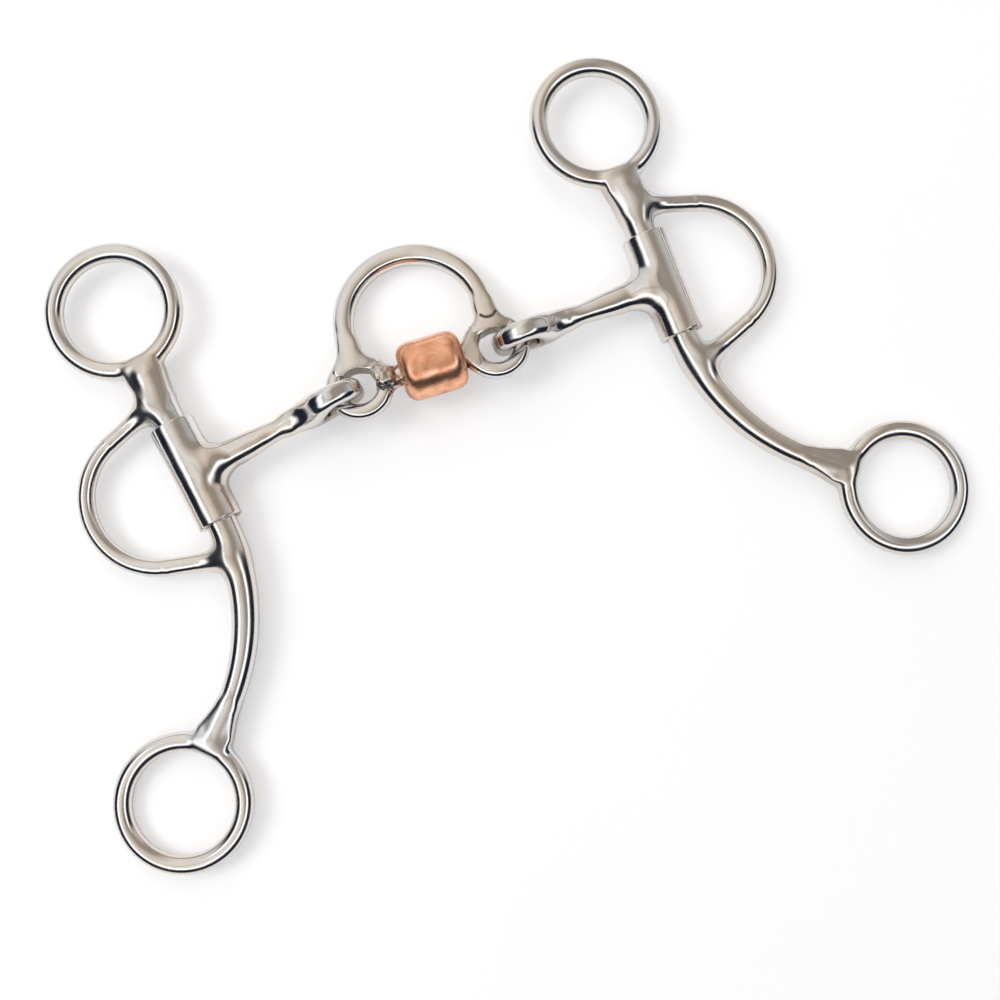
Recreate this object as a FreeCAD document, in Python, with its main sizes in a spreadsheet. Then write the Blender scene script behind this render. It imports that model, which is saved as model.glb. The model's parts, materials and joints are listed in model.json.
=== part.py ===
"""A short-shanked, three-piece leverage bit with a round port and a roller, lying flat.

Lengths are in millimetres and angles in degrees. +X runs along the mouth from the left cheek
to the right one, +Y towards the bridle rings and +Z up from the table. The origin is under
the middle of the whole bit, on the table.
"""
import FreeCAD, Part
import Sketcher
import math
import os

Vector = FreeCAD.Vector
UP = Vector(0, 0, 1)
OUTPUT_FOLDER = "parts"
SIDES = ("left", "right")

# alias, value, meaning
SIZES = [
    ("ring_inside", 25.4, "inside diameter of the bridle and rein rings"),
    ("ring_rod", 4.8, "rod of the bridle and rein rings"),
    ("bar_rod", 7.9, "straight bar that the sleeve turns on"),
    ("bar_above", 2.4, "bar between the half ring's upper root and the bridle ring's web"),
    ("bar_below", 0.5, "bar between the sleeve and the curved shank"),
    ("shank_bend", 53.0, "centreline radius of the curved shank"),
    ("shank_sweep", 52.0, "angle that the shank turns outwards"),
    ("shank_end_rod", 6.0, "shank where it reaches the rein ring"),
    ("shank_tail", 7.0, "straight end of the shank, to the rein ring's rim"),
    ("ring_web_length", 5.5, "ground web between a ring and its bar"),
    ("ring_web_spread", 13.5, "width of that web on the ring"),
    ("d_rod", 4.4, "rod of the half ring"),
    ("d_bend", 17.8, "centreline radius of the half ring"),
    ("d_upper_turn", 76.0, "half ring's arc above its middle"),
    ("d_lower_turn", 72.0, "half ring's arc below its middle"),
    ("d_upper_play", 2.6, "gap between the sleeve and the half ring's upper leg"),
    ("d_lower_play", 4.7, "gap between the sleeve and the half ring's lower leg"),
    ("sleeve_outside", 11.5, "outside diameter of the sleeve"),
    ("sleeve_length", 28.1, "length of the sleeve"),
    ("sleeve_clearance", 0.1, "radial clearance between sleeve and bar"),
    ("sleeve_edge", 0.35, "chamfer on the sleeve's ends"),
    ("cannon_reach", 38.8, "sleeve axis to the middle of the cannon's eye"),
    ("cannon_rod", 7.1, "cannon beside the sleeve"),
    ("cannon_flare", 11.2, "cannon where it is welded to the sleeve"),
    ("flare_length", 4.5, "length of that flare"),
    ("cannon_waist", 5.8, "thinnest part of the cannon"),
    ("cannon_eye_play", 4.2, "how much wider the hole in the cannon's eye is than the rod in it"),
    ("cannon_eye_wall", 4.1, "metal around that hole, measured outwards"),
    ("cannon_eye_width", 6.2, "metal around that hole, measured along its axis"),
    ("cannon_neck", 7.0, "length over which the cannon spreads into its eye"),
    ("eye_play", 2.6, "how much wider an eye ring's hole is than the cannon's eye in it"),
    ("eye_rod", 4.2, "rod of an eye ring"),
    ("eye_slack", 0.85, "how far a cannon's eye stands out from its eye ring's rod"),
    ("eye_clearance", 0.05, "running clearance around an eye ring"),
    ("port_rod", 5.3, "rod of the port"),
    ("port_foot_outset", 0.0, "how far outside the middle of an eye ring each foot of the port lands"),
    ("port_leg", 2.7, "how far above an eye ring the port's bend ends"),
    ("port_foot_turn", 6.0, "how far each foot of the port turns past a half circle"),
    ("port_foot_bite", 1.0, "depth that a foot reaches into the eye ring's rim"),
    ("foot_web_length", 4.5, "ground web between the port and an eye ring"),
    ("foot_web_spread", 8.6, "width of that web on the eye ring"),
    ("axle_rod", 4.8, "axle that the roller turns on"),
    ("weld_leg", 1.6, "height of the weld around the axle, on the eye ring"),
    ("weld_toe", 0.3, "height of the weld at its thin end"),
    ("weld_length", 1.9, "length of the open weld on the left"),
    ("weld_length_hidden", 1.0, "length of the weld inside the roller's countersink"),
    ("roller_outside", 15.4, "roller diameter"),
    ("roller_length", 16.4, "roller length"),
    ("roller_left_play", 1.9, "gap between the roller and the left eye ring"),
    ("roller_right_play", 0.4, "gap between the roller and the right eye ring"),
    ("roller_clearance", 0.1, "radial clearance between roller and axle"),
    ("roller_round", 3.4, "radius on the roller's ends"),
    ("roller_countersink", 1.3, "depth of the countersink in each end of the roller"),
    ("table_gap", 0.05, "lift of a resting eye off the table"),
    ("link_turn", -5.1, "turn of the middle link about +Z"),
    ("left_arm_turn", 5.1, "turn of the left arm about +Z"),
    ("right_arm_turn", -1.1, "turn of the right arm about +Z"),
]

# Sizes that follow from the ones above, written as expressions on the sheet.
RING_OUTSIDE = "(Dims.ring_inside / 2 + Dims.ring_rod)"
RING_BEND = "((Dims.ring_inside + Dims.ring_rod) / 2)"
EYE_HOLE = "(Dims.cannon_eye_width + Dims.eye_play)"
EYE_BEND = f"(({EYE_HOLE} + Dims.eye_rod) / 2)"
EYE_OUTSIDE = f"({EYE_HOLE} / 2 + Dims.eye_rod)"
CANNON_EYE_HOLE = "(Dims.eye_rod + Dims.cannon_eye_play)"
EYE_GAP = "(Dims.roller_length + Dims.roller_left_play + Dims.roller_right_play)"
EYE_SPACING = f"({EYE_GAP} + 2 * {EYE_OUTSIDE})"
ROLLER_BORE = "(Dims.axle_rod / 2 + Dims.roller_clearance)"
PORT_BEND = f"(({EYE_SPACING} / 2 + Dims.port_foot_outset) / cos(Dims.port_foot_turn))"


# ---------------------------------------------------------------- document and helpers

def new_sheet(doc):
    """Put every driving size in one sheet, each with an alias."""
    sheet = doc.addObject("Spreadsheet::Sheet", "Dims")
    for row, (alias, value, meaning) in enumerate(SIZES, start=1):
        sheet.set(f"A{row}", meaning)
        sheet.set(f"B{row}", str(value))
        sheet.setAlias(f"B{row}", alias)
    doc.recompute()
    return sheet


document = FreeCAD.newDocument("LeverageBit")
dims = new_sheet(document)


def size(alias):
    return float(dims.get(alias))


def add(kind, name, **expressions):
    """A Part object whose sizes are bound to the sheet."""
    item = document.addObject("Part::" + kind, name)
    for prop, expression in expressions.items():
        item.setExpression(prop.replace("__", "."), expression)
    return item


def placed(item, origin, x_axis, y_axis):
    """Put an item's own X and Y along two directions at right angles, and return it."""
    z_axis = x_axis.cross(y_axis)
    item.Placement = FreeCAD.Placement(origin, FreeCAD.Rotation(x_axis, y_axis, z_axis, "XYZ"))
    return item


def along(item, origin, direction, thin=UP):
    """Put an item's own Z along a direction and its own Y along thin, and return it."""
    direction = Vector(direction).normalize()
    thin = Vector(thin)
    return placed(item, origin, thin.cross(direction), thin)


def fuse(name, solids):
    item = document.addObject("Part::MultiFuse", name)
    item.Shapes = solids
    item.Refine = True
    return item


def cut(name, base, tool):
    item = document.addObject("Part::Cut", name)
    item.Base = base
    item.Tool = tool
    return item


def web(name, spread, rod, length, thickness):
    """A flat ground web: it starts at the origin as wide as spread and narrows to rod along +Z."""
    cone = add("Cone", name + "_cone", Radius1=f"{spread} / 2", Radius2=f"{rod} / 2", Height=length)
    slab = add("Box", name + "_slab", Length=spread, Width=thickness, Height=length,
               Placement__Base__x=f"-{spread} / 2", Placement__Base__y=f"-{thickness} / 2")
    item = document.addObject("Part::Common", name)
    item.Base = cone
    item.Tool = slab
    return item


def polar(radius, degrees):
    """A point in the XY plane."""
    angle = math.radians(degrees)
    return Vector(radius * math.cos(angle), radius * math.sin(angle), 0)


def new_body(name):
    return document.addObject("PartDesign::Body", name)


def sketch_on(body, role, name):
    """An empty sketch on one of a body's own origin planes."""
    plane = next(item for item in body.Origin.OriginFeatures if item.Role == role)
    sketch = body.newObject("Sketcher::SketchObject", name)
    sketch.AttachmentSupport = [(plane, "")]
    sketch.MapMode = "FlatFace"
    return sketch


def bind(sketch, constraint, expression):
    """Add a driving constraint and bind it to the sheet."""
    index = sketch.addConstraint(constraint)
    sketch.setExpression(f"Constraints[{index}]", expression)


def closed_profile(sketch, corners):
    """A closed outline. Each corner is a pair of expressions, for its two coordinates."""
    points = []
    for across, up in corners:
        points.append(Vector(evaluate(across), evaluate(up), 0))
    count = len(points)
    for index, start in enumerate(points):
        sketch.addGeometry(Part.LineSegment(start, points[(index + 1) % count]), False)
    for index in range(count):
        sketch.addConstraint(Sketcher.Constraint("Coincident", index, 2, (index + 1) % count, 1))
    for index, (across, up) in enumerate(corners):
        bind(sketch, Sketcher.Constraint("DistanceX", -1, 1, index, 1, points[index].x), across)
        bind(sketch, Sketcher.Constraint("DistanceY", -1, 1, index, 1, points[index].y), up)


def evaluate(expression):
    """The present value of an expression on the sheet."""
    value = dims.evalExpression(expression)
    return float(getattr(value, "Value", value))


def revolve_about_x(body, name, corners):
    """Turn an outline of (along X, out from X) corners about the body's own X axis."""
    sketch = sketch_on(body, "XY_Plane", name + "_outline")
    closed_profile(sketch, corners)
    turned = body.newObject("PartDesign::Revolution", name)
    turned.Profile = sketch
    turned.ReferenceAxis = (sketch, ["H_Axis"])
    turned.Angle = 360.0
    document.recompute()
    return turned


# ---------------------------------------------------------------- where things lie at rest

def unit(degrees):
    return polar(1.0, degrees)


ring_outside = evaluate(RING_OUTSIDE)
ring_bend = evaluate(RING_BEND)
eye_bend = evaluate(EYE_BEND)
eye_outside = evaluate(EYE_OUTSIDE)
eye_spacing = evaluate(EYE_SPACING)
port_bend = evaluate(PORT_BEND)
port_rise = (eye_outside + size("port_leg")
             + port_bend * math.sin(math.radians(size("port_foot_turn"))))
port_reach = port_rise + port_bend
axle_height = size("roller_outside") / 2
link_dip = math.asin((axle_height - size("port_rod") / 2) / port_reach)
link_x = unit(size("link_turn"))
link_flat_y = unit(size("link_turn") + 90)
link_y = link_flat_y * math.cos(link_dip) - UP * math.sin(link_dip)
link_normal = link_x.cross(link_y)
link_centre = Vector(0, 0, axle_height)

cannon_eye_outside = evaluate(CANNON_EYE_HOLE) / 2 + size("cannon_eye_wall")
cannon_eye_height = cannon_eye_outside + size("table_gap")
shank_start = size("sleeve_length") / 2 + size("bar_below")


def shank_end():
    """The shank's end on the rein ring's rim, and its direction there, in the cheek's own frame."""
    turn = math.radians(size("shank_sweep"))
    heading = Vector(math.sin(turn), -math.cos(turn), 0)
    bend = size("shank_bend")
    end = Vector(bend * (1 - math.cos(turn)), -shank_start - bend * math.sin(turn), 0)
    return end + heading * size("shank_tail"), heading


def half_ring_root(turn, play):
    """Where a leg of the half ring meets the bar's axis, so that it clears the sleeve's corner by play."""
    reach = play + size("d_rod") / 2 + size("sleeve_outside") / 2 * math.cos(turn)
    return size("sleeve_length") / 2 + reach / math.sin(turn)


def half_ring_layout():
    """The half ring's two roots and the centre of the arc that joins its legs."""
    upper = math.radians(size("d_upper_turn"))
    lower = math.radians(size("d_lower_turn"))
    upper_root = half_ring_root(upper, size("d_upper_play"))
    lower_root = half_ring_root(lower, size("d_lower_play"))
    upper_offset = upper_root * math.sin(upper) - size("d_bend")
    lower_offset = lower_root * math.sin(lower) - size("d_bend")
    out = upper_offset * math.sin(lower) + lower_offset * math.sin(upper)
    up = upper_offset * math.cos(lower) - lower_offset * math.cos(upper)
    return upper_root, Vector(out, up, 0) / math.sin(upper + lower)


upper_root, d_centre = half_ring_layout()
bar_top = upper_root + size("bar_above")
bridle_ring_rise = bar_top + size("ring_web_length") + ring_outside


def side_layout(side):
    """Origins and directions of one side's eye ring, arm and cheek."""
    sign = -1 if side == "left" else 1
    outward = unit(size(f"{side}_arm_turn")) * sign
    bar_up = unit(size(f"{side}_arm_turn") + 90)
    ring_centre = link_centre + link_x * (sign * eye_spacing / 2)
    to_pivot = (outward - link_normal * outward.dot(link_normal)).normalize()
    rise = math.asin((cannon_eye_height - size("sleeve_outside") / 2) / size("cannon_reach"))
    hole_centre = ring_centre + outward * (eye_bend + size("eye_slack"))
    hole_centre.z = cannon_eye_height
    inward = UP * math.sin(rise) - outward * math.cos(rise)
    sleeve_centre = hole_centre - inward * size("cannon_reach")
    end, heading = shank_end()
    rein_reach = end.x + heading.x * ring_outside + ring_bend
    cheek_dip = math.asin((sleeve_centre.z - size("ring_rod") / 2) / rein_reach)
    cheek_out = outward * math.cos(cheek_dip) - UP * math.sin(cheek_dip)
    rein_centre = end + heading * ring_outside
    return {
        "bridle_centre": sleeve_centre + bar_up * bridle_ring_rise,
        "rein_centre": sleeve_centre + cheek_out * rein_centre.x + bar_up * rein_centre.y,
        "half_ring_centre": sleeve_centre + cheek_out * d_centre.x + bar_up * d_centre.y,
        "ring_centre": ring_centre,
        "pivot": ring_centre + to_pivot * eye_bend,
        "sleeve_centre": sleeve_centre,
        "inward": inward,
        "bar_up": bar_up,
        "cheek_out": cheek_out,
    }


# ---------------------------------------------------------------- the middle link

def eye_ring(name, extra_rod="0"):
    return add("Torus", name, Radius1=EYE_BEND,
               Radius2=f"Dims.eye_rod / 2 + {extra_rod}")


def eye_ring_space(name):
    """The room that both eye rings need, with their running clearance."""
    rings = []
    for side, sign in zip(SIDES, (-1, 1)):
        ring = eye_ring(f"{name}_{side}", "Dims.eye_clearance")
        ring.Placement.Base = Vector(sign * eye_spacing / 2, 0, 0)
        rings.append(ring)
    return fuse(name, rings)


def port_arch():
    """A rod bent to a little over half a circle, with each foot ground to its eye ring."""
    turn = size("port_foot_turn")
    centre = Vector(0, port_rise, 0)
    arc = add("Torus", "port_arc", Radius1=PORT_BEND, Radius2="Dims.port_rod / 2",
              Angle3="180 + 2 * Dims.port_foot_turn")
    placed(arc, centre, unit(-turn), unit(90 - turn))
    solids = [arc]
    rim_height = eye_outside - size("port_foot_bite")
    for side, sign in zip(SIDES, (-1, 1)):
        arc_end = centre + Vector(sign * port_bend * math.cos(math.radians(turn)),
                                  -port_bend * math.sin(math.radians(turn)), 0)
        into_ring = Vector(-sign * math.sin(math.radians(turn)), -math.cos(math.radians(turn)), 0)
        leg = add("Cylinder", f"port_leg_{side}", Radius="Dims.port_rod / 2")
        leg.Height = (arc_end.y - rim_height) / math.cos(math.radians(turn))
        along(leg, arc_end, into_ring)
        foot = arc_end + into_ring * leg.Height.Value
        flare = web(f"port_web_{side}", "Dims.foot_web_spread", "Dims.port_rod",
                    "Dims.foot_web_length", "Dims.eye_rod")
        along(flare, foot, into_ring * -1)
        solids += [leg, flare]
    return cut("port_arch", fuse("port_blank", solids), eye_ring_space("port_room"))


def roller_axle():
    length = f"{EYE_GAP} + 2 * Dims.port_foot_bite"
    blank = add("Cylinder", "axle_blank", Radius="Dims.axle_rod / 2", Height=length)
    along(blank, Vector(-evaluate(length) / 2, 0, 0), Vector(1, 0, 0))
    return cut("roller_axle", blank, eye_ring_space("axle_room"))


def axle_welds():
    """The bead at each end of the axle. The right one lies in the roller's countersink."""
    half_gap = evaluate(EYE_GAP) / 2
    beads = []
    for side, sign, length in (("left", -1, "weld_length"), ("right", 1, "weld_length_hidden")):
        cone = add("Cone", f"weld_cone_{side}", Radius1="Dims.axle_rod / 2 + Dims.weld_leg",
                   Radius2="Dims.axle_rod / 2 + Dims.weld_toe",
                   Height=f"Dims.{length} + Dims.port_foot_bite")
        start = Vector(sign * (half_gap + size("port_foot_bite")), 0, 0)
        along(cone, start, Vector(-sign, 0, 0))
        core = add("Cylinder", f"weld_core_{side}", Radius="Dims.axle_rod / 2", Height=EYE_SPACING)
        along(core, Vector(-eye_spacing / 2, 0, 0), Vector(1, 0, 0))
        bored = cut(f"weld_bored_{side}", cone, core)
        beads.append(cut(f"weld_bead_{side}", bored, eye_ring_space(f"weld_room_{side}")))
    item = document.addObject("Part::Compound", "axle_welds")
    item.Links = beads
    return item


def copper_roller():
    """A short barrel on the axle, rounded at its ends and countersunk around its bore."""
    body = new_body("copper_roller")
    half = "Dims.roller_length / 2"
    mouth = f"({ROLLER_BORE} + Dims.roller_countersink)"
    floor = "(Dims.roller_length / 2 - Dims.roller_countersink)"
    outside = "Dims.roller_outside / 2"
    corners = [(f"-{half}", mouth), (f"-{half}", outside), (half, outside), (half, mouth),
               (floor, ROLLER_BORE), (f"-{floor}", ROLLER_BORE)]
    turned = revolve_about_x(body, "roller_turned", corners)
    rims = []
    for index, edge in enumerate(turned.Shape.Edges, start=1):
        curve = edge.Curve
        if isinstance(curve, Part.Circle) and abs(curve.Radius - size("roller_outside") / 2) < 1e-6:
            rims.append(f"Edge{index}")
    rounded = body.newObject("PartDesign::Fillet", "roller_rounded")
    rounded.Base = (turned, rims)
    rounded.setExpression("Radius", "Dims.roller_round")
    body.Tip = rounded
    return body


# ---------------------------------------------------------------- one arm: sleeve and cannon

def sleeve(side):
    """A tube that turns on the bar, square at its ends. Its axis is the arm's own Y."""
    body = new_body(f"{side}_sleeve")
    sketch = sketch_on(body, "XZ_Plane", f"{side}_sleeve_section")
    origin = Vector(0, 0, 0)
    radii = ("Dims.sleeve_outside / 2", "Dims.bar_rod / 2 + Dims.sleeve_clearance")
    for index, radius in enumerate(radii):
        sketch.addGeometry(Part.Circle(origin, UP, evaluate(radius)), False)
        sketch.addConstraint(Sketcher.Constraint("Coincident", index, 3, -1, 1))
        bind(sketch, Sketcher.Constraint("Radius", index, evaluate(radius)), radius)
    tube = body.newObject("PartDesign::Pad", f"{side}_sleeve_tube")
    tube.Profile = sketch
    tube.Midplane = True
    tube.setExpression("Length", "Dims.sleeve_length")
    document.recompute()
    rims = []
    for index, edge in enumerate(tube.Shape.Edges, start=1):
        curve = edge.Curve
        if isinstance(curve, Part.Circle) and abs(curve.Radius - size("sleeve_outside") / 2) < 1e-6:
            rims.append(f"Edge{index}")
    broken = body.newObject("PartDesign::Chamfer", f"{side}_sleeve_edge")
    broken.Base = (tube, rims)
    broken.setExpression("Size", "Dims.sleeve_edge")
    body.Tip = broken
    return body


def cannon(side):
    """A tapered rod along the arm's own X, flared on to the sleeve, with an upright eye."""
    shank = new_body(f"{side}_cannon_rod")
    start = "Dims.sleeve_outside / 2 * 0.8"
    wall = "(Dims.sleeve_outside / 2)"
    eye_bend_here = f"(({CANNON_EYE_HOLE} + Dims.cannon_eye_wall) / 2)"
    eye_bar = f"(Dims.cannon_reach - {eye_bend_here})"
    neck = f"({eye_bar} - Dims.cannon_neck)"
    corners = [(start, "0"), (start, "Dims.cannon_flare / 2"),
               (f"{wall} + 0.35 * Dims.flare_length", "(Dims.cannon_flare + 2 * Dims.cannon_rod) / 6"),
               (f"{wall} + Dims.flare_length", "Dims.cannon_rod / 2"),
               (neck, "Dims.cannon_waist / 2"), (eye_bar, "Dims.cannon_waist / 2"), (eye_bar, "0")]
    revolve_about_x(shank, f"{side}_cannon_turned", corners)
    section = add("Ellipse", f"{side}_eye_section", MajorRadius="Dims.cannon_eye_width / 2",
                  MinorRadius="Dims.cannon_eye_wall / 2")
    eye_centre = Vector(size("cannon_reach"), 0, 0)
    inner_bar = Vector(evaluate(eye_bar), 0, 0)
    placed(section, inner_bar, Vector(0, 1, 0), Vector(1, 0, 0))
    eye = document.addObject("Part::Revolution", f"{side}_cannon_eye")
    eye.Source = section
    eye.Base = eye_centre
    eye.Axis = Vector(0, 1, 0)
    eye.Angle = 360
    eye.Solid = True
    neck_web = web(f"{side}_cannon_web", f"(2 * {eye_bend_here})", "Dims.cannon_waist", "Dims.cannon_neck",
                   "Dims.cannon_waist")
    along(neck_web, inner_bar, Vector(-1, 0, 0), Vector(0, 1, 0))
    blank = fuse(f"{side}_cannon_blank", [shank, neck_web])
    eye_space = add("Cylinder", f"{side}_eye_space", Radius=eye_bend_here, Height="Dims.cannon_eye_width")
    seat = add("Cylinder", f"{side}_sleeve_space", Radius="Dims.sleeve_outside / 2",
               Height="Dims.sleeve_length")
    along(eye_space, eye_centre - Vector(0, size("cannon_eye_width") / 2, 0), Vector(0, 1, 0))
    along(seat, Vector(0, -size("sleeve_length") / 2, 0), Vector(0, 1, 0))
    trimmed = cut(f"{side}_cannon_trimmed", blank, fuse(f"{side}_cannon_cuts", [eye_space, seat]))
    return fuse(f"{side}_cannon", [trimmed, eye])


# ---------------------------------------------------------------- one cheek

def ring_with_web(name, rod):
    """A round ring whose web comes off its rim along -Y. The ring's middle is the origin."""
    ring = add("Torus", name + "_rod", Radius1=RING_BEND, Radius2="Dims.ring_rod / 2")
    rooted = web(name + "_web", "Dims.ring_web_spread", rod,
                 "Dims.ring_web_length + Dims.ring_rod / 2", "Dims.ring_rod")
    along(rooted, Vector(0, -ring_bend, 0), Vector(0, -1, 0))
    return fuse(name, [ring, rooted])


def half_ring(side):
    """A rod bent to a D: an arc between two straight legs that run in to the bar."""
    arc = add("Torus", f"{side}_d_arc", Radius1="Dims.d_bend", Radius2="Dims.d_rod / 2",
              Angle3="Dims.d_upper_turn + Dims.d_lower_turn")
    lower = size("d_lower_turn")
    placed(arc, d_centre, unit(-lower), unit(90 - lower))
    solids = [arc]
    for name, turn, sign in (("upper", size("d_upper_turn"), 1), ("lower", lower, -1)):
        end = d_centre + polar(size("d_bend"), sign * turn)
        inward = Vector(-math.sin(math.radians(turn)), sign * math.cos(math.radians(turn)), 0)
        leg = add("Cylinder", f"{side}_d_leg_{name}", Radius="Dims.d_rod / 2")
        leg.Height = end.x / -inward.x
        along(leg, end, inward)
        solids.append(leg)
    blank = fuse(f"{side}_d_blank", solids)
    bar_space = add("Cylinder", f"{side}_d_bar_space", Radius="Dims.bar_rod / 2", Height="4 * Dims.d_bend")
    along(bar_space, Vector(0, -2 * size("d_bend"), 0), Vector(0, 1, 0))
    trimmed = cut(f"{side}_d_trimmed", blank, bar_space)
    beyond = add("Box", f"{side}_d_beyond", Length="Dims.bar_rod", Width="4 * Dims.d_bend",
                 Height="Dims.bar_rod")
    beyond.Placement.Base = Vector(-size("bar_rod"), -2 * size("d_bend"), -size("bar_rod") / 2)
    shank_space = shank_sweep(f"{side}_d_shank")
    return cut(f"{side}_d_ring", trimmed, fuse(f"{side}_d_cuts", [beyond, shank_space]))


def shank_sweep(name):
    """The tapered, curved shank below the bar, in the cheek's own frame."""
    bend_centre = Vector(size("shank_bend"), -shank_start, 0)
    spine = add("Circle", name + "_spine", Radius="Dims.shank_bend", Angle1="0", Angle2="Dims.shank_sweep")
    placed(spine, bend_centre, Vector(-1, 0, 0), Vector(0, -1, 0))
    first = add("Circle", name + "_first", Radius="Dims.bar_rod / 2")
    last = add("Circle", name + "_last", Radius="Dims.shank_end_rod / 2")
    end, heading = shank_end()
    along(first, Vector(0, -shank_start, 0), Vector(0, -1, 0))
    along(last, end - heading * size("shank_tail"), heading)
    sweep = document.addObject("Part::Sweep", name)
    sweep.Sections = [first, last]
    sweep.Spine = (spine, ["Edge1"])
    sweep.Solid = True
    sweep.Frenet = False
    return sweep


def cheek_bar(side):
    """The straight bar in the sleeve and the curved shank below it."""
    bar = add("Cylinder", f"{side}_bar", Radius="Dims.bar_rod / 2")
    bar.Height = bar_top + shank_start
    along(bar, Vector(0, bar_top, 0), Vector(0, -1, 0))
    end, heading = shank_end()
    tail = add("Cylinder", f"{side}_tail", Radius="Dims.shank_end_rod / 2",
               Height="Dims.shank_tail - Dims.ring_web_length")
    along(tail, end - heading * size("shank_tail"), heading)
    return fuse(f"{side}_cheek_bar", [bar, shank_sweep(f"{side}_shank"), tail])


# ---------------------------------------------------------------- put together and write

def build_all():
    """Every sub-part in its own frame, with the frame that it belongs in."""
    layout = {side: side_layout(side) for side in SIDES}
    link_frame = (link_centre, link_x, link_y)
    parts = [(port_arch(), link_frame), (roller_axle(), link_frame), (axle_welds(), link_frame)]
    roller_shift = (size("roller_left_play") - size("roller_right_play")) / 2
    roller_centre = link_centre + link_x * roller_shift
    parts.append((copper_roller(), (roller_centre, link_x, link_y)))
    heading = shank_end()[1]
    for side in SIDES:
        here = layout[side]
        arm_frame = (here["sleeve_centre"], here["inward"], here["bar_up"])
        cheek_frame = (here["sleeve_centre"], here["cheek_out"], here["bar_up"])
        out, along_bar = here["cheek_out"], here["bar_up"]
        rein_y = out * heading.x + along_bar * heading.y
        rein_x = out * -heading.y + along_bar * heading.x
        parts += [
            (eye_ring(f"{side}_eye_ring"), (here["ring_centre"], link_x, link_y)),
            (cannon(side), arm_frame),
            (sleeve(side), arm_frame),
            (cheek_bar(side), cheek_frame),
            (half_ring(side), cheek_frame),
            (ring_with_web(f"{side}_bridle_ring", "Dims.bar_rod"), (here["bridle_centre"], out, along_bar)),
            (ring_with_web(f"{side}_rein_ring", "Dims.shank_end_rod"), (here["rein_centre"], rein_x, rein_y)),
        ]
    for item, (origin, x_axis, y_axis) in parts:
        item.Label = item.Name
        placed(item, origin, x_axis, y_axis)
    return [item for item, _ in parts], layout


def whole_box(items):
    box = FreeCAD.BoundBox()
    for item in items:
        box.add(item.Shape.optimalBoundingBox(False))
    return box


def stand_on_origin(items):
    """Move everything so that the origin is under the middle of the whole, at the table."""
    box = whole_box(items)
    shift = Vector(-box.Center.x, -box.Center.y, -box.ZMin)
    for item in items:
        item.Placement.Base = item.Placement.Base + shift
    document.recompute()
    return shift


def check(items):
    for item in document.Objects:
        if "Invalid" in item.State or "Error" in item.State:
            raise RuntimeError(f"{item.Name} did not build: {item.State}")
    for item in items:
        if item.Shape.isNull() or not item.Shape.isValid() or not item.Shape.Solids:
            raise RuntimeError(f"{item.Label} has no valid solid")


def say(name, point):
    print(f"{name}: {point.x:.4f} {point.y:.4f} {point.z:.4f}")


def report(items, layout, shift):
    """Print the sizes and the joint axes that the record states."""
    box = whole_box(items)
    print(f"whole size: {box.XLength:.2f} x {box.YLength:.2f} x {box.ZLength:.2f}")
    for item in items:
        print(f"{item.Label}: {len(item.Shape.Solids)} solid(s), {item.Shape.Volume:.1f} mm3")
    say("link centre", link_centre + shift)
    say("port centre", link_centre + link_y * port_rise + shift)
    say("link x", link_x)
    say("link y", link_y)
    say("link normal", link_normal)
    for side in SIDES:
        for name in ("ring_centre", "pivot", "sleeve_centre", "bridle_centre", "rein_centre",
                     "half_ring_centre"):
            say(f"{side} {name}", layout[side][name] + shift)
        for name in ("inward", "bar_up", "cheek_out"):
            say(f"{side} {name}", layout[side][name])


def main():
    items, layout = build_all()
    document.recompute()
    check(items)
    shift = stand_on_origin(items)
    check(items)
    os.makedirs(OUTPUT_FOLDER, exist_ok=True)
    for item in items:
        item.Shape.exportStep(f"{OUTPUT_FOLDER}/{item.Label}.step")
    report(items, layout, shift)


main()
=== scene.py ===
import bpy
import json
import math
from mathutils import Matrix, Vector


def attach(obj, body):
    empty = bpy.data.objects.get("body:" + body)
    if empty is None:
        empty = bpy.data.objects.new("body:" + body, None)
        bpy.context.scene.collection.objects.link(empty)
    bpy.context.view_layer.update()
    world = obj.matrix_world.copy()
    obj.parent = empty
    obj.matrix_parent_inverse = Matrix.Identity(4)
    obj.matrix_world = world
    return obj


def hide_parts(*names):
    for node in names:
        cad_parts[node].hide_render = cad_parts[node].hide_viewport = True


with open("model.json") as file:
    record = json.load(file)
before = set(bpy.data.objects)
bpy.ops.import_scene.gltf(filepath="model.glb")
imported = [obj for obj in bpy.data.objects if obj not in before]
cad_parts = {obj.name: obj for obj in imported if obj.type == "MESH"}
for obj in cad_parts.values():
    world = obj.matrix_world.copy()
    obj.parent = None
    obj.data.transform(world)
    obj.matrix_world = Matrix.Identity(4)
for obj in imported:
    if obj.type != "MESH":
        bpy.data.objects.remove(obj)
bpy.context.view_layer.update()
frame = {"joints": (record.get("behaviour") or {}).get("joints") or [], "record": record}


# ---- Where it lies ---------------------------------------------------------------------------
# The bit lies flat on a pale table top and is seen from almost straight above, turned a little,
# so that its left cheek is the nearer one.

scene = bpy.context.scene
scene.view_settings.view_transform = "Standard"

eye_level = bpy.data.cameras.new("eye_level")
eye_level.sensor_width = 36
eye_level.lens = 39.25
eye_level.clip_start = 0.01
viewer = bpy.data.objects.new("viewer", eye_level)
scene.collection.objects.link(viewer)
viewer.location = (-0.01678, -0.03533, 0.280)
viewer.rotation_euler = (0.0734, -0.0408, -0.3944)
scene.camera = viewer


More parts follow.
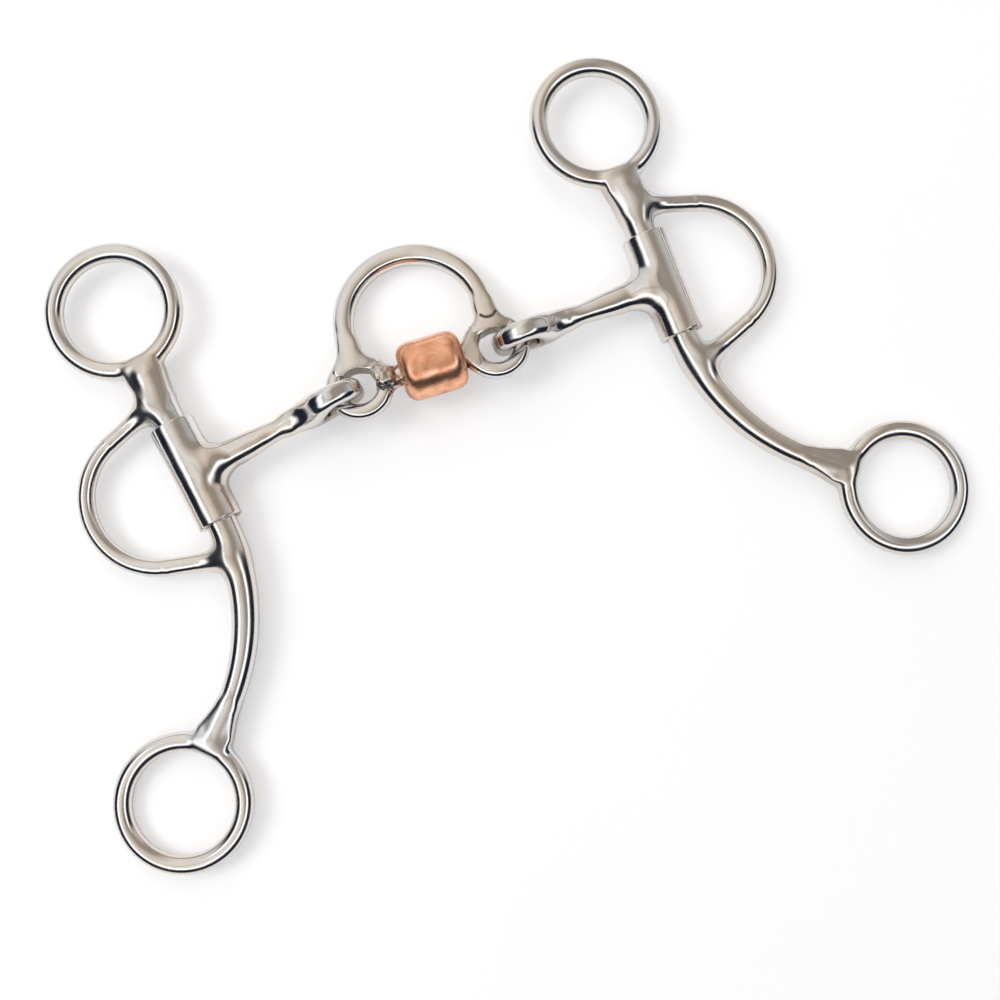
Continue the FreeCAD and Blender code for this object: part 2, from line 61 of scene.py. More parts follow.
class Flow:
    """A number, vector or colour on its way through a node tree. Sums written on it add nodes."""

    def __init__(self, bench, node, output):
        self.bench = bench
        self.node = node
        self.socket = node.outputs[output]

    def out(self, output):
        return Flow(self.bench, self.node, output)

    def math(self, operation, *others):
        sockets = dict(enumerate((self,) + others))
        return self.bench.add("ShaderNodeMath", {"operation": operation}, sockets)

    def vector(self, operation, other=None, output=0):
        sockets = {0: self} if other is None else {0: self, 1: other}
        return self.bench.add("ShaderNodeVectorMath", {"operation": operation}, sockets, output)

    def is_vector(self):
        return self.socket.type == "VECTOR"

    def __add__(self, other):
        return self.vector("ADD", other) if self.is_vector() else self.math("ADD", other)

    def __sub__(self, other):
        return self.vector("SUBTRACT", other) if self.is_vector() else self.math("SUBTRACT", other)

    def __rsub__(self, other):
        return (self * -1) + other

    def __mul__(self, other):
        if self.is_vector():
            settings = {"operation": "SCALE"}
            return self.bench.add("ShaderNodeVectorMath", settings, {0: self, "Scale": other})
        return self.math("MULTIPLY", other)

    def dot(self, other):
        return self.vector("DOT_PRODUCT", other, "Value")

    def length(self):
        return self.vector("LENGTH", output="Value")

    def between(self, low, high):
        return self.math("MAXIMUM", low).math("MINIMUM", high)

    def step(self, start, end):
        """Goes smoothly from 0 at start to 1 at end."""
        settings = {"interpolation_type": "SMOOTHSTEP"}
        return self.bench.add("ShaderNodeMapRange", settings, {0: self, 1: start, 2: end})


class Bench:
    """One node tree being built."""

    def __init__(self, tree):
        self.tree = tree

    def add(self, kind, settings, sockets, output=0):
        node = self.tree.nodes.new(kind)
        for name, value in settings.items():
            if name == "stops":
                ramp = node.color_ramp.elements
                while len(ramp) < len(value):
                    ramp.new(0.5)
                for stop, (place, colour) in zip(ramp, value):
                    stop.position = place
                    stop.color = colour
            else:
                setattr(node, name, value)
        for key, value in sockets.items():
            if isinstance(value, Flow):
                self.tree.links.new(value.socket, node.inputs[key])
            else:
                node.inputs[key].default_value = value
        return Flow(self, node, output) if node.outputs else None

    def blend(self, share, first, second):
        """Goes from the first colour to the second as share goes from 0 to 1."""
        return self.add("ShaderNodeMix", {"data_type": "RGBA"}, {0: share, 6: first, 7: second}, 2)


def fresh_material(name):
    material = bpy.data.materials.new(name)
    material.use_nodes = True
    material.node_tree.nodes.clear()
    return material, Bench(material.node_tree)


bpy.ops.mesh.primitive_grid_add(x_subdivisions=4, y_subdivisions=4, size=6, location=(0, 0, 0))
table = bpy.context.object
table.name = "table_top"

paper, bench = fresh_material("white_table")
place = bench.add("ShaderNodeTexCoord", {}, {}, "Object")
mottle = bench.add("ShaderNodeTexNoise", {}, {"Vector": place, "Scale": 9.0, "Detail": 3.0})
whiteness = bench.blend(mottle, (0.90, 0.90, 0.905, 1), (0.94, 0.94, 0.94, 1))
matt = bench.add("ShaderNodeBsdfPrincipled", {},
                 {"Base Color": whiteness, "Roughness": 0.75, "Specular IOR Level": 0.2})
gleam = bench.add("ShaderNodeEmission", {}, {"Color": (0.97, 0.97, 0.975, 1), "Strength": 1.0})
seen = bench.add("ShaderNodeLightPath", {}, {}, "Is Camera Ray") * 0.45
surface = bench.add("ShaderNodeMixShader", {}, {0: seen, 1: matt, 2: gleam})
bench.add("ShaderNodeOutputMaterial", {}, {"Surface": surface})
table.data.materials.append(paper)

# The room: a warm ceiling that darkens to one side, a beam across it, a bright window band and,
# below the window, an unlit wall that draws the dark lines along polished rod.
across = (0.923, -0.384, 0.0)
away = (0.384, 0.923, 0.0)
room = bpy.data.worlds.new("room")
scene.world = room
room.use_nodes = True
room.node_tree.nodes.clear()
bench = Bench(room.node_tree)
heading = bench.add("ShaderNodeTexCoord", {}, {}, "Generated")
height = heading.dot((0.0, 0.0, 1.0))
beside = heading.dot(across)
beyond = heading.dot(away)
low_side = (beside.math("ABSOLUTE") * 0.55 - beyond * 0.9).step(-0.02, 0.34)
window = height.step(0.66, 0.73) * (1 - height.step(0.80, 0.88)) * low_side
unlit = (1 - height.step(0.54, 0.68)) * height.step(0.02, 0.06) * low_side
edge_line = height.step(0.0, 0.02) * (1 - height.step(0.07, 0.11)) * 0.75
ceiling = bench.add("ShaderNodeValToRGB", {"stops": (
    (0.05, (0.80, 0.80, 0.82, 1)),
    (0.25, (0.95, 0.94, 0.92, 1)),
    (0.38, (1.02, 0.98, 0.94, 1)),
    (0.46, (0.86, 0.78, 0.70, 1)),
    (0.54, (0.70, 0.63, 0.56, 1)),
    (0.62, (0.42, 0.37, 0.32, 1)),
    (0.76, (0.38, 0.345, 0.31, 1)),
    (0.95, (0.80, 0.79, 0.78, 1)),
)}, {0: beside * 0.5 + 0.5})
beam = beyond.step(-0.14, -0.07) * (1 - beyond.step(-0.05, 0.02)) * 0.45
ceiling = bench.blend(beam, ceiling, (0.20, 0.16, 0.13, 1))
lit = bench.blend(window, ceiling, (1.9, 1.95, 2.05, 1))
toned = bench.blend(unlit.math("MAXIMUM", edge_line), lit, (0.012, 0.018, 0.035, 1))
path = bench.add("ShaderNodeLightPath", {}, {}, "Is Camera Ray")
glow = bench.add("ShaderNodeBackground", {}, {"Color": toned, "Strength": 1.0})
backdrop = bench.add("ShaderNodeBackground", {}, {"Color": (1, 1, 1, 1), "Strength": 1.0})
sky = bench.add("ShaderNodeMixShader", {}, {0: path, 1: glow, 2: backdrop})
bench.add("ShaderNodeOutputWorld", {}, {"Surface": sky})


def lamp(name, place, aim, size, power, colour):
    """A soft box hung at place and turned to aim."""
    light = bpy.data.lights.new(name, "AREA")
    light.shape = "RECTANGLE"
    light.size, light.size_y = size
    light.energy = power
    light.color = colour
    holder = bpy.data.objects.new(name, light)
    scene.collection.objects.link(holder)
    holder.location = place
    holder.rotation_euler = (Vector(aim) - Vector(place)).to_track_quat("-Z", "Y").to_euler()
    holder.visible_glossy = False


lamp("soft_box_left", (-0.85, 0.45, 0.95), (0, 0, 0), (0.6, 0.6), 9.0, (1.0, 0.99, 0.98))
lamp("soft_box_far", (0.30, 0.95, 0.95), (0, 0, 0), (0.9, 0.9), 4.5, (0.97, 0.98, 1.0))


# ---- The two cheeks --------------------------------------------------------------------------
# Each cheek is forged and welded from stainless rod: a straight bar with a curved, tapered shank,
# a bridle ring at its top, a rein ring at its foot and a half ring at its outer side. The welds
# are ground to soft webs and the whole cheek is buffed.

joints = {joint["name"]: joint for joint in frame["joints"]}
mounts = {mount["name"]: mount for mount in frame["record"]["mounts"]}
millimetre = 0.001

ring_bend = 15.1
ring_rod = 2.4
bar_rod = 3.95
bar_top = 28.33
shank_start = 14.55
shank_bend = 53.0
shank_sweep = 52.0
shank_tail = 7.0
shank_end_rod = 3.0
half_ring_bend = 17.9
half_ring_rod = 2.2
half_ring_centre = {"left": (11.2, -0.9, 0.0), "right": (11.6, 0.1, 0.0)}
half_ring_turns = {"left": (75.0, -71.0), "right": (73.0, -70.0)}
half_ring_root = 2.6
flare_length = 7.0
flare_end_rod = 3.6
upper_web_reach = (1.4, 7.0)
upper_web_half = 4.9
upper_web_thickness = 5.2
lower_web_reach = (1.6, 8.0)
lower_web_half = 4.8
lower_web_thickness = 4.5
web_fillet = 3.0
ring_fillet = 3.6
half_ring_fillet = 5.5


def grow(name, shape, low, high, grain, pose, finish):
    """Makes a closed skin round a shape given by its distance rule, in millimetres.

    The rule gives the distance to the surface and the marks left on it. grain is the size of the
    skin's squares. pose puts the finished skin where it belongs on the bit.
    """
    passes = 3
    closing = -0.8
    tree = bpy.data.node_groups.new(name + "_rule", "GeometryNodeTree")
    sockets = tree.interface
    sockets.new_socket("Geometry", in_out="INPUT", socket_type="NodeSocketGeometry")
    sizes = {}
    for label in ("Low corner", "High corner"):
        sizes[label] = sockets.new_socket(label, in_out="INPUT", socket_type="NodeSocketVector")
    sizes["Squares per millimetre"] = sockets.new_socket("Squares per millimetre", in_out="INPUT",
                                                         socket_type="NodeSocketFloat")
    sizes["Finish"] = sockets.new_socket("Finish", in_out="INPUT", socket_type="NodeSocketMaterial")
    sockets.new_socket("Geometry", in_out="OUTPUT", socket_type="NodeSocketGeometry")
    bench = Bench(tree)
    given = bench.add("NodeGroupInput", {}, {}, "Low corner")
    far_corner = given.out("High corner")
    steps = (far_corner - given) * given.out("Squares per millimetre")
    counts = bench.add("ShaderNodeSeparateXYZ", {}, {0: steps})
    place = bench.add("GeometryNodeInputPosition", {}, {})
    distance, marks = shape(bench, place)
    block = bench.add("GeometryNodeVolumeCube", {}, {
        "Density": distance * -1, "Background": -1.0, "Min": given, "Max": far_corner,
        "Resolution X": counts.out("X"), "Resolution Y": counts.out("Y"),
        "Resolution Z": counts.out("Z")})
    skin = bench.add("GeometryNodeVolumeToMesh", {"resolution_mode": "GRID"},
                     {"Volume": block, "Threshold": 0.0, "Adaptivity": 0.0})
    for _ in range(passes):
        facing = bench.add("GeometryNodeInputNormal", {}, {})
        skin = bench.add("GeometryNodeSetPosition", {},
                         {"Geometry": skin, "Offset": facing * (distance * closing)})
    for label, mark in marks.items():
        skin = bench.add("GeometryNodeStoreNamedAttribute", {"data_type": "FLOAT", "domain": "POINT"},
                         {"Geometry": skin, "Name": label, "Value": mark})
    skin = bench.add("GeometryNodeSetShadeSmooth", {}, {"Geometry": skin})
    skin = bench.add("GeometryNodeRealizeInstances", {}, {"Geometry": skin})
    skin = bench.add("GeometryNodeSetMaterial", {},
                     {"Geometry": skin, "Material": given.out("Finish")})
    bench.add("NodeGroupOutput", {}, {"Geometry": skin})

    seed = bpy.data.objects.new(name + "_seed", bpy.data.meshes.new(name + "_seed"))
    scene.collection.objects.link(seed)
    rule = seed.modifiers.new("rule", "NODES")
    rule.node_group = tree
    rule[sizes["Low corner"].identifier] = low
    rule[sizes["High corner"].identifier] = high
    rule[sizes["Squares per millimetre"].identifier] = 1 / grain
    rule[sizes["Finish"].identifier] = finish
    graph = bpy.context.evaluated_depsgraph_get()
    mesh = bpy.data.meshes.new_from_object(seed.evaluated_get(graph), depsgraph=graph)
    bpy.data.objects.remove(seed)
    mesh.name = name
    mesh.transform(pose)
    piece = bpy.data.objects.new(name, mesh)
    scene.collection.objects.link(piece)
    return piece


def rod(place, start, end, start_rod, end_rod):
    """Distance to a straight round rod that may taper."""
    run = Vector(end) - Vector(start)
    reach = place - tuple(start)
    share = (reach.dot(tuple(run)) * (1 / run.length_squared)).between(0.0, 1.0)
    along = reach.bench.add("ShaderNodeVectorMath", {"operation": "SCALE"},
                            {0: tuple(run), "Scale": share})
    return (reach - along).length() - (share * (end_rod - start_rod) + start_rod)


def bent_rod(place, centre, bend, middle, half_turn, first_rod, last_rod):
    """Distance to a round rod bent to an arc. middle and half_turn are in degrees."""
    turn = math.radians(middle)
    half = math.radians(half_turn)
    reach = place - tuple(centre)
    ahead = reach.dot((math.cos(turn), math.sin(turn), 0.0))
    aside = reach.dot((-math.sin(turn), math.cos(turn), 0.0))
    angle = aside.math("ARCTAN2", ahead).between(-half, half)
    off_ahead = ahead - angle.math("COSINE") * bend
    off_aside = aside - angle.math("SINE") * bend
    off_plane = reach.dot((0.0, 0.0, 1.0))
    gap = (off_ahead * off_ahead + off_aside * off_aside + off_plane * off_plane).math("SQRT")
    share = angle * (0.5 / half) + 0.5
    return gap - (share * (last_rod - first_rod) + first_rod)


def ring(place, centre, bend, section):
    """Distance to a closed round ring."""
    reach = place - tuple(centre)
    off_plane = reach.dot((0.0, 0.0, 1.0))
    flat = reach.vector("MULTIPLY", (1.0, 1.0, 0.0)).length() - bend
    return (flat * flat + off_plane * off_plane).math("SQRT") - section


def web(place, start, end, start_rod, end_rod, thickness, softness=2.6):
    """Distance to a web ground flat on both sides between a ring and a bar."""
    flattened = place.vector("MULTIPLY", (1.0, 1.0, 0.0))
    outline = rod(flattened, start, end, start_rod, end_rod)
    face = place.dot((0.0, 0.0, 1.0)).math("ABSOLUTE") - thickness / 2
    return outline.math("SMOOTH_MAX", face, softness)


def polar(bend, degrees):
    angle = math.radians(degrees)
    return Vector((bend * math.cos(angle), bend * math.sin(angle), 0.0))


def hand_work(place, spread, depth):
    """The slight waviness that a polishing wheel held by hand leaves."""
    noise = place.bench.add("ShaderNodeTexNoise", {"noise_dimensions": "3D"},
                            {"Vector": place, "Scale": 1 / spread, "Detail": 1.0})
    return (noise - 0.5) * (2 * depth)


def cheek_shape(bench, place, side):
    ring_top = (0.0, bar_top + ring_bend + ring_rod, 0.0)
    sweep = math.radians(shank_sweep)
    sweep_end = Vector((shank_bend * (1 - math.cos(sweep)),
                        -shank_start - shank_bend * math.sin(sweep), 0.0))
    heading = Vector((math.sin(sweep), -math.cos(sweep), 0.0))
    foot = sweep_end + heading * shank_tail
    rein_centre = foot + heading * (ring_bend + ring_rod)

    bar = rod(place, (0, bar_top - 1.5, 0), (0, -shank_start, 0), bar_rod, bar_rod)
    shank = bent_rod(place, (shank_bend, -shank_start, 0), shank_bend, 180 + shank_sweep / 2,
                     shank_sweep / 2, bar_rod, shank_end_rod)
    tail = rod(place, sweep_end, foot, shank_end_rod, shank_end_rod)
    stem = bar.math("MINIMUM", shank).math("MINIMUM", tail)
    upper_ring = ring(place, ring_top, ring_bend, ring_rod)
    lower_ring = ring(place, rein_centre, ring_bend, ring_rod)
    near, far = upper_web_reach
    upper_web = web(place, (0, bar_top - near, 0), (0, bar_top - far, 0),
                    upper_web_half, bar_rod - 0.4, upper_web_thickness)
    near, far = lower_web_reach
    lower_web = web(place, foot - heading * near, foot - heading * far,
                    lower_web_half, shank_end_rod - 0.3, lower_web_thickness)

    turns = half_ring_turns[side]
    centre = Vector(half_ring_centre[side])
    loop = bent_rod(place, centre, half_ring_bend, (turns[0] + turns[1]) / 2,
                    (turns[0] - turns[1]) / 2, half_ring_rod, half_ring_rod)
    for turn, sign in zip(turns, (1, -1)):
        end = centre + polar(half_ring_bend, turn)
        angle = math.radians(turn)
        inward = Vector((-abs(math.sin(angle)), sign * math.cos(angle), 0.0))
        root = end + inward * ((end.x - half_ring_root) / -inward.x)
        flare = rod(place, root - inward * flare_length, root, half_ring_rod - 0.2, flare_end_rod)
        loop = loop.math("SMOOTH_MIN", rod(place, end, root, half_ring_rod, half_ring_rod), 0.5)
        loop = loop.math("SMOOTH_MIN", flare, 1.0)

    plain = stem.math("MINIMUM", upper_ring).math("MINIMUM", lower_ring).math("MINIMUM", loop)
    joined = stem
    for flat, round_part in ((upper_web, upper_ring), (lower_web, lower_ring)):
        joined = joined.math("SMOOTH_MIN", flat, web_fillet)
        joined = joined.math("SMOOTH_MIN", round_part, ring_fillet)
    joined = joined.math("SMOOTH_MIN", loop, half_ring_fillet)
    surface = joined + hand_work(place, 9.0, 0.06) + 0.02
    return surface, {"weld": ((plain - joined) * 1.4).between(0.0, 1.0)}


def steel_finish(name, sheen, cool, warm):
    """Buffed stainless: faint buffing lines, clouding, warm tint, small pits and painted shade in the
    lap's crack.
    """
    material, bench = fresh_material(name)
    place = bench.add("ShaderNodeTexCoord", {}, {}, "Object")
    weld = bench.add("ShaderNodeAttribute", {"attribute_name": "weld"}, {}, "Fac")
    cloud = bench.add("ShaderNodeTexNoise", {}, {"Vector": place, "Scale": 160.0, "Detail": 4.0})
    broad = bench.add("ShaderNodeTexNoise", {}, {"Vector": place, "Scale": 38.0, "Detail": 2.0})
    fine = bench.add("ShaderNodeTexNoise", {}, {"Vector": place, "Scale": 2600.0, "Detail": 2.0})
    pits = bench.add("ShaderNodeTexVoronoi", {}, {"Vector": place, "Scale": 420.0}, "Distance")
    pit = (1 - pits.step(0.03, 0.10)) * cloud.step(0.56, 0.66)
    crack = bench.add("ShaderNodeAttribute", {"attribute_name": "crack"}, {}, "Fac")
    tint = bench.blend(broad.step(0.35, 0.7), cool + (1,), warm + (1,))
    stain = (pit + weld * cloud * 0.45).between(0.0, 0.8)
    stain_and_crack_shade = bench.blend(stain, tint, (0.36, 0.33, 0.30, 1))
    # Painted shade: the lap's crack is darkened nearly black to stand in for the shade in its gap.
    stain_and_crack_shade = bench.blend(crack * 0.9, stain_and_crack_shade, (0.05, 0.045, 0.04, 1))
    rough = cloud.step(0.3, 0.8) * 0.08 + weld * 0.08 + pit * 0.3 + sheen
    relief = fine * 0.25 + cloud * 0.5 - pit * 2.0
    bump = bench.add("ShaderNodeBump", {}, {"Strength": 0.10, "Distance": 0.00012, "Height": relief})
    metal = bench.add("ShaderNodeBsdfPrincipled", {},
                      {"Base Color": stain_and_crack_shade, "Metallic": 1.0, "Roughness": rough, "Normal": bump})
    bench.add("ShaderNodeOutputMaterial", {}, {"Surface": metal})
    return material


def frame_of(origin, x_axis, y_axis):
    """The matrix that takes a part's own millimetres to its place on the bit."""
    x = Vector(x_axis).normalized()
    y = Vector(y_axis).normalized()
    z = x.cross(y).normalized()
    turned = Matrix((x, y, z)).transposed().to_4x4()
    return Matrix.Translation(Vector(origin)) @ turned @ Matrix.Scale(millimetre, 4)


buffed_steel = steel_finish("buffed_steel", 0.11, (0.70, 0.69, 0.68), (0.72, 0.665, 0.60))
cheek_low = (-18.5, -90.0, -5.2)
cheek_high = (58.5, 64.5, 5.2)
cheek_grain = 0.34
for side, sign in (("left", 1), ("right", -1)):
    swivel = joints[side + "_cheek_swivel"]
    bar_up = Vector(swivel["axis"])
    face = Vector(mounts[side + "_bridle_ring"]["axis"])
    outward = bar_up.cross(face) * -sign
    pose = frame_of(swivel["pos_m"], outward, bar_up)
    cheek = grow(side + "_cheek", lambda bench, place: cheek_shape(bench, place, side),
                 cheek_low, cheek_high, cheek_grain, pose, buffed_steel)
    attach(cheek, side + "_cheek")
    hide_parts(side + "_cheek_bar", side + "_bridle_ring", side + "_rein_ring",
                side + "_d_ring")


# ---- The two arms ----------------------------------------------------------------------------
# Each arm is a length of tube that turns on the cheek's bar, with a tapered rod welded square to
# its middle. The rod ends in an upright eye, forged flat and ground smooth by hand.

sleeve_outside = 5.75
sleeve_bore = 4.05
sleeve_half = 13.75
sleeve_drop = 0.3
arm_tilt = 3.84
arm_root = 5.2
arm_rod = 3.6
arm_waist = 2.7
arm_reach = 38.8
arm_eye_hole = 4.2
arm_eye_bend = 6.0
arm_eye_rod = 2.2
arm_eye_upright = 0.7
arm_start = 3.0
arm_end = 34.0
arm_flare = (4.5, 10.5)
arm_taper = (9.0, 26.0)
neck_start = 27.0
neck_half = 4.8
neck_thickness = 6.2
neck_softness = 5.5
neck_fillet = 3.5
eye_fillet = 4.5
sleeve_fillet = 4.0
arm_low = (-6.6, -14.9, -9.4)
arm_high = (48.2, 14.9, 9.4)
arm_grain = 0.27


def arm_shape(bench, place):
    parts = bench.add("ShaderNodeSeparateXYZ", {}, {0: place})
    inward, along = parts.out("X"), parts.out("Y")
    radius = place.vector("MULTIPLY", (1.0, 0.0, 1.0)).length()
    sleeve_ends = (along + sleeve_drop).math("ABSOLUTE") - sleeve_half
    tube = (radius - sleeve_outside).math("SMOOTH_MAX", sleeve_ends, 0.5)

    girth = place.vector("MULTIPLY", (0.0, 1.0, 1.0)).length()
    taper = arm_rod - inward.step(*arm_taper) * (arm_rod - arm_waist)
    flare = (1 - inward.step(*arm_flare)) * (arm_root - arm_rod)
    shaft_ends = (inward - (arm_start + arm_end) / 2).math("ABSOLUTE") - (arm_end - arm_start) / 2
    shaft = (girth - (taper + flare)).math("SMOOTH_MAX", shaft_ends, 1.0)

    reach = place - (arm_reach, 0.0, 0.0)
    hole_radius = reach.vector("MULTIPLY", (1.0, 0.0, 1.0)).length()
    flat = hole_radius - arm_eye_bend
    upright = (along.math("ABSOLUTE") - arm_eye_upright).math("MAXIMUM", 0.0)
    eye = (flat * flat + upright * upright).math("SQRT") - arm_eye_rod
    turned = bench.add("ShaderNodeCombineXYZ", {},
                       {"X": inward, "Y": parts.out("Z"), "Z": along})
    neck = web(turned, (arm_end, 0, 0), (neck_start, 0, 0), neck_half, arm_waist - 0.5,
               neck_thickness, neck_softness)

    rod_and_eye = shaft.math("SMOOTH_MIN", neck, neck_fillet).math("SMOOTH_MIN", eye, eye_fillet)
    rod_and_eye = rod_and_eye.math("SMOOTH_MAX", arm_eye_hole - hole_radius, 0.8)
    forged = (hand_work(place, 6.5, 0.30) + 0.10) * inward.step(12.0, 24.0)
    rod_and_eye = rod_and_eye + forged
    joined = tube.math("SMOOTH_MIN", rod_and_eye, sleeve_fillet)
    plain = tube.math("MINIMUM", rod_and_eye)
    seam = ((plain - joined) * 1.2).between(0.0, 1.0)
    joined = joined + hand_work(place, 5.0, 0.05) + 0.03
    return joined.math("SMOOTH_MAX", sleeve_bore - radius, 0.3), {"weld": seam}


for side, sign in (("left", 1), ("right", -1)):
    bar_up = Vector(joints[side + "_cheek_swivel"]["axis"])
    level = bar_up.cross(Vector((0, 0, 1))).normalized() * sign
    tilt = math.radians(arm_tilt)
    inward = level * math.cos(tilt) + Vector((0, 0, 1)) * math.sin(tilt)
    pose = frame_of(joints[side + "_cheek_swivel"]["pos_m"], inward, bar_up)
    arm = grow(side + "_arm", arm_shape, arm_low, arm_high, arm_grain, pose, buffed_steel)
    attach(arm, side + "_arm")
    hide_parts(side + "_cannon", side + "_sleeve")


# ---- The two eye rings -----------------------------------------------------------------------
# A small heavy ring at each end of the middle link carries an arm's eye. It is cast steel, its
# faces ground a little flat.

eye_bend = 6.5
eye_rod = 2.1
eye_hole = 4.42
eye_face = 2.08
eye_low = (-9.2, -9.2, -2.8)
eye_high = (9.2, 9.2, 2.8)
fine_grain = 0.2

link_x = Vector(joints["roller_spin"]["axis"])
link_face = Vector(joints["left_arm_swing"]["axis"])
link_y = link_face.cross(link_x)
link_middle = Vector(joints["roller_spin"]["pos_m"])
eye_reach = {}
for side in ("left", "right"):
    offset = Vector(joints[side + "_arm_swing"]["pos_m"]) - link_middle
    eye_reach[side] = offset.dot(link_x) / millimetre


def eye_shape(bench, place):
    height = place.dot((0.0, 0.0, 1.0)).math("ABSOLUTE")
    loop = ring(place, (0, 0, 0), eye_bend, eye_rod).math("SMOOTH_MAX", height - eye_face, 0.7)
    return loop + hand_work(place, 3.0, 0.04), {}


for side in ("left", "right"):
    pose = frame_of(joints[side + "_arm_swing"]["pos_m"], link_x, link_y)
    eye = grow(side + "_eye", eye_shape, eye_low, eye_high, fine_grain, pose, buffed_steel)
    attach(eye, side + "_eye")
    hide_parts(side + "_eye_ring")


# ---- The middle link -------------------------------------------------------------------------
# A rod bent to a low arch joins the two eye rings above the roller. Its feet are lapped over the
# rings, welded and ground flat: the left foot flares both ways, the right one ends in a tongue.
# A plain axle runs across below the arch.

port_bend = 18.05
port_rod = 2.7
port_turn = 6.0
port_centre = (0.2, 13.2, 0.0)
port_face = 2.6
foot_spread = {"left": 4.1, "right": 3.4}
foot_thickness = 4.4
foot_fillet = 2.4
seat_lean = 14
seat_half_turn = 56
seat_rod = 2.06
seat_fillet = 2.6
lap_bend = 2.35
lap_rod = 0.26
axle_rod = 2.4
axle_stop = 8.9
link_low = (-27.5, -7.5, -3.4)
link_high = (27.5, 34.6, 3.4)
link_grain = 0.23


def keep_eye_open(shape, place, side):
    hole = (place - (eye_reach[side], 0.0, 0.0)).vector("MULTIPLY", (1.0, 1.0, 0.0)).length()
    return shape.math("SMOOTH_MAX", eye_hole - hole, 0.3)


def link_shape(bench, place):
    arch = bent_rod(place, port_centre, port_bend, 90, 90 + port_turn, port_rod, port_rod)
    plain = arch
    turn = math.radians(port_turn)
    for side, sign in (("left", -1), ("right", 1)):
        end = Vector(port_centre) + Vector((sign * port_bend * math.cos(turn),
                                            -port_bend * math.sin(turn), 0))
        rim = Vector((eye_reach[side] + sign * 0.3, 6.2, 0.0))
        leg = rod(place, end, rim, port_rod, port_rod)
        foot = web(place, rim, end + Vector((0, 0.5, 0)), foot_spread[side], port_rod - 0.4,
                   foot_thickness)
        seat = bent_rod(place, (eye_reach[side], 0, 0), eye_bend, 90 + sign * seat_lean,
                        seat_half_turn, seat_rod, seat_rod)
        plain = plain.math("MINIMUM", leg).math("MINIMUM", seat)
        arch = arch.math("SMOOTH_MIN", leg, 1.0).math("SMOOTH_MIN", foot, foot_fillet)
        arch = arch.math("SMOOTH_MIN", seat, seat_fillet)
        arch = keep_eye_open(arch, place, side)
    height = place.dot((0.0, 0.0, 1.0)).math("ABSOLUTE")
    arch = arch.math("SMOOTH_MAX", height - port_face, 0.8) + hand_work(place, 7.0, 0.09)

    # The lap's edge shows as a thin crescent on the right foot. It is a shallow groove, and painted
    # shade in it (the crack mark) darkens it nearly black.
    lap = bent_rod(place, (eye_reach["right"] + 0.6, 9.6, 2.5), lap_bend, -90, 58, lap_rod, lap_rod)
    arch = arch.math("SMOOTH_MAX", lap * -1, 0.15)

    axle = rod(place, (eye_reach["left"] + axle_stop, 0, 0), (eye_reach["right"] - axle_stop, 0, 0),
               axle_rod, axle_rod)
    seam = ((plain - arch) * 1.2).between(0.0, 1.0)
    # The crack mark is painted shade for the lap's gap, not a colour of the steel.
    return arch.math("MINIMUM", axle), {"weld": seam, "crack": 1 - lap.step(0.0, 0.22)}


link_pose = frame_of(link_middle, link_x, link_y)
link = grow("link", link_shape, link_low, link_high, link_grain, link_pose, buffed_steel)
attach(link, "link")
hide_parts("port_arch", "roller_axle")


# ---- The axle's welds ------------------------------------------------------------------------
# The axle is welded to the rings from inside. The left bead is lumpy and stands in the open gap,
# the right one is ground down almost flush and runs into the roller's countersink.

left_bead_rod = 3.9
right_bead_rod = 2.9
right_bead_face = 2.2
beads_low = (-16.5, -9.5, -4.6)
beads_high = (16.5, 9.5, 4.6)

def weld_shape(bench, place):
    lumps = hand_work(place, 3.0, 0.75) + hand_work(place, 1.2, 0.14)
    left_seat = bent_rod(place, (eye_reach["left"], 0, 0), eye_bend, 12, 40, 2.08, 2.08)
    left = rod(place, (eye_reach["left"] + 6.6, 0.3, 0.1), (eye_reach["left"] + 9.9, 0, 0),
               left_bead_rod, 2.6)
    left = left.math("SMOOTH_MIN", left_seat, 2.2) + lumps
    right_seat = bent_rod(place, (eye_reach["right"], 0, 0), eye_bend, 170, 42, 2.1, 2.1)
    right = rod(place, (eye_reach["right"] - 6.6, 0, 0), (eye_reach["right"] - 9.2, 0, 0),
                right_bead_rod, 2.4)
    right = right.math("SMOOTH_MIN", right_seat, 3.2) + lumps * 0.22
    height = place.dot((0.0, 0.0, 1.0)).math("ABSOLUTE")
    right = right.math("SMOOTH_MAX", height - right_bead_face, 0.5)
    beads = keep_eye_open(left, place, "left").math("MINIMUM", keep_eye_open(right, place, "right"))
    return beads, {"weld": lumps.step(-0.1, 0.3) * 0.8}


weld_metal = steel_finish("weld_metal", 0.20, (0.64, 0.62, 0.58), (0.58, 0.52, 0.45))
beads = grow("axle_welds_ground", weld_shape, beads_low, beads_high, fine_grain, link_pose,
             weld_metal)
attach(beads, "link")
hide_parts("axle_welds")


# ---- The roller ------------------------------------------------------------------------------
# A solid copper barrel that spins on the axle, turned with well rounded ends and countersunk
# round its bore. Use has dulled it to a satin finish.

roller_outside = 7.55
roller_half = 8.2
roller_round = 3.4
roller_bore = 2.5
roller_countersink = 1.3
roller_shift = 1.05
roller_low = (-8.4, -8.4, -8.4)
roller_high = (9.9, 8.4, 8.4)
roller_grain = 0.22
worn_sides = 6.0
worn_depth = 0.05


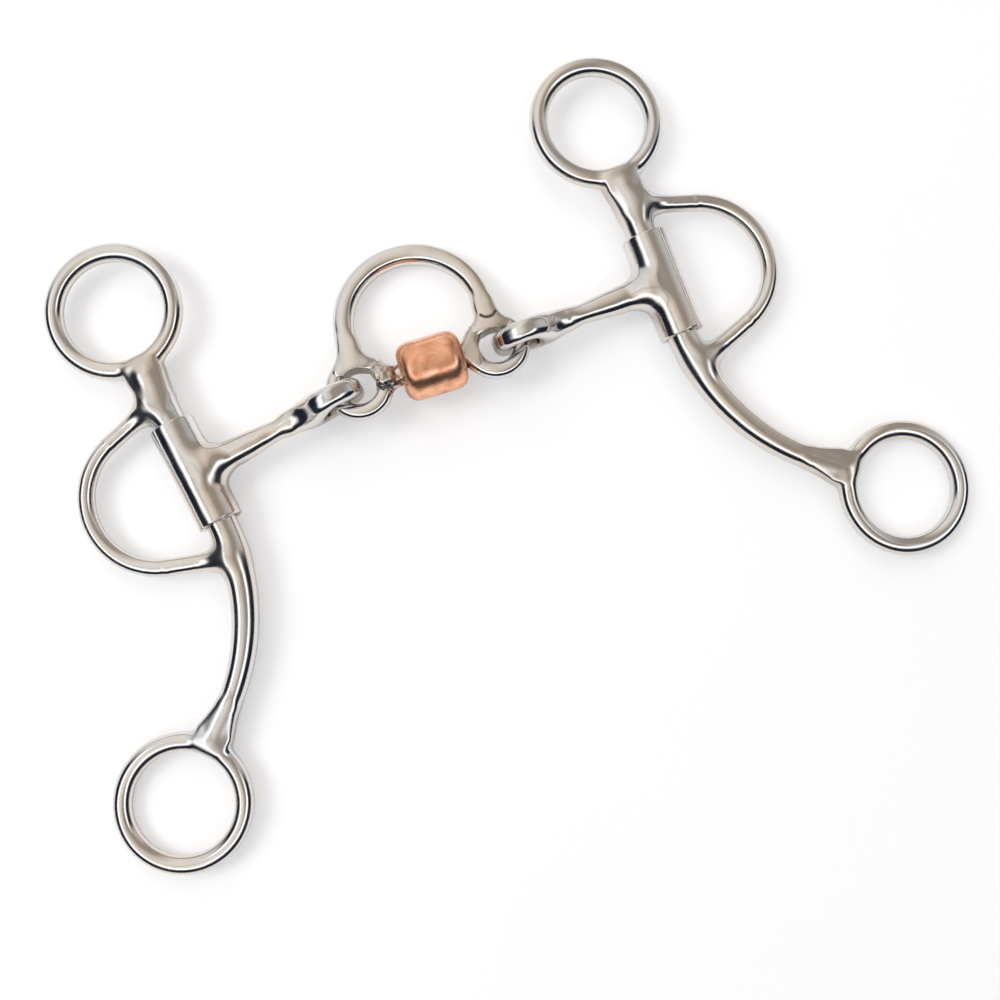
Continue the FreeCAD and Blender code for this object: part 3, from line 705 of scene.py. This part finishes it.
def roller_shape(bench, place):
    parts = bench.add("ShaderNodeSeparateXYZ", {}, {0: place})
    girth = place.vector("MULTIPLY", (0.0, 1.0, 1.0)).length()
    end = (parts.out("X") - roller_shift).math("ABSOLUTE")
    turn = parts.out("Y").math("ARCTAN2", parts.out("Z"))
    worn = (turn * worn_sides).math("COSINE") * worn_depth
    out = girth + worn - (roller_outside - roller_round)
    past = end - (roller_half - roller_round)
    rounded = (out.math("MAXIMUM", 0.0) * out.math("MAXIMUM", 0.0)
               + past.math("MAXIMUM", 0.0) * past.math("MAXIMUM", 0.0)).math("SQRT")
    barrel = rounded + out.math("MAXIMUM", past).math("MINIMUM", 0.0) - roller_round
    sink = (end - (roller_half - roller_countersink)).math("MAXIMUM", 0.0) + roller_bore - girth
    return barrel.math("SMOOTH_MAX", sink, 0.3) + hand_work(place, 3.5, 0.05), {}


def copper_finish():
    """Satin copper: broad brown tarnish, lengthwise rubbing marks and small dents."""
    material, bench = fresh_material("worn_copper")
    place = bench.add("ShaderNodeTexCoord", {}, {}, "Object")
    rubbed = bench.add("ShaderNodeMapping", {}, {"Vector": place, "Scale": (260.0, 1500.0, 1500.0)})
    lines = bench.add("ShaderNodeTexNoise", {}, {"Vector": rubbed, "Scale": 1.0, "Detail": 3.0})
    cloud = bench.add("ShaderNodeTexNoise", {}, {"Vector": place, "Scale": 330.0, "Detail": 4.0})
    grit = bench.add("ShaderNodeTexNoise", {}, {"Vector": place, "Scale": 1900.0, "Detail": 2.0})
    tarnish = bench.blend(cloud.step(0.35, 0.72), (0.94, 0.52, 0.33, 1), (0.72, 0.32, 0.17, 1))
    shade = bench.blend(lines.step(0.45, 0.75) * 0.35, tarnish, (0.95, 0.60, 0.42, 1))
    rough = cloud * 0.14 + lines * 0.10 + 0.17
    bump = bench.add("ShaderNodeBump", {}, {"Strength": 0.22, "Distance": 0.00012,
                                            "Height": lines * 0.6 + grit * 0.5 + cloud})
    metal = bench.add("ShaderNodeBsdfPrincipled", {},
                      {"Base Color": shade, "Metallic": 1.0, "Roughness": rough, "Normal": bump})
    bench.add("ShaderNodeOutputMaterial", {}, {"Surface": metal})
    return material


roller = grow("roller", roller_shape, roller_low, roller_high, roller_grain, link_pose,
              copper_finish())
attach(roller, "roller")
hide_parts("copper_roller")
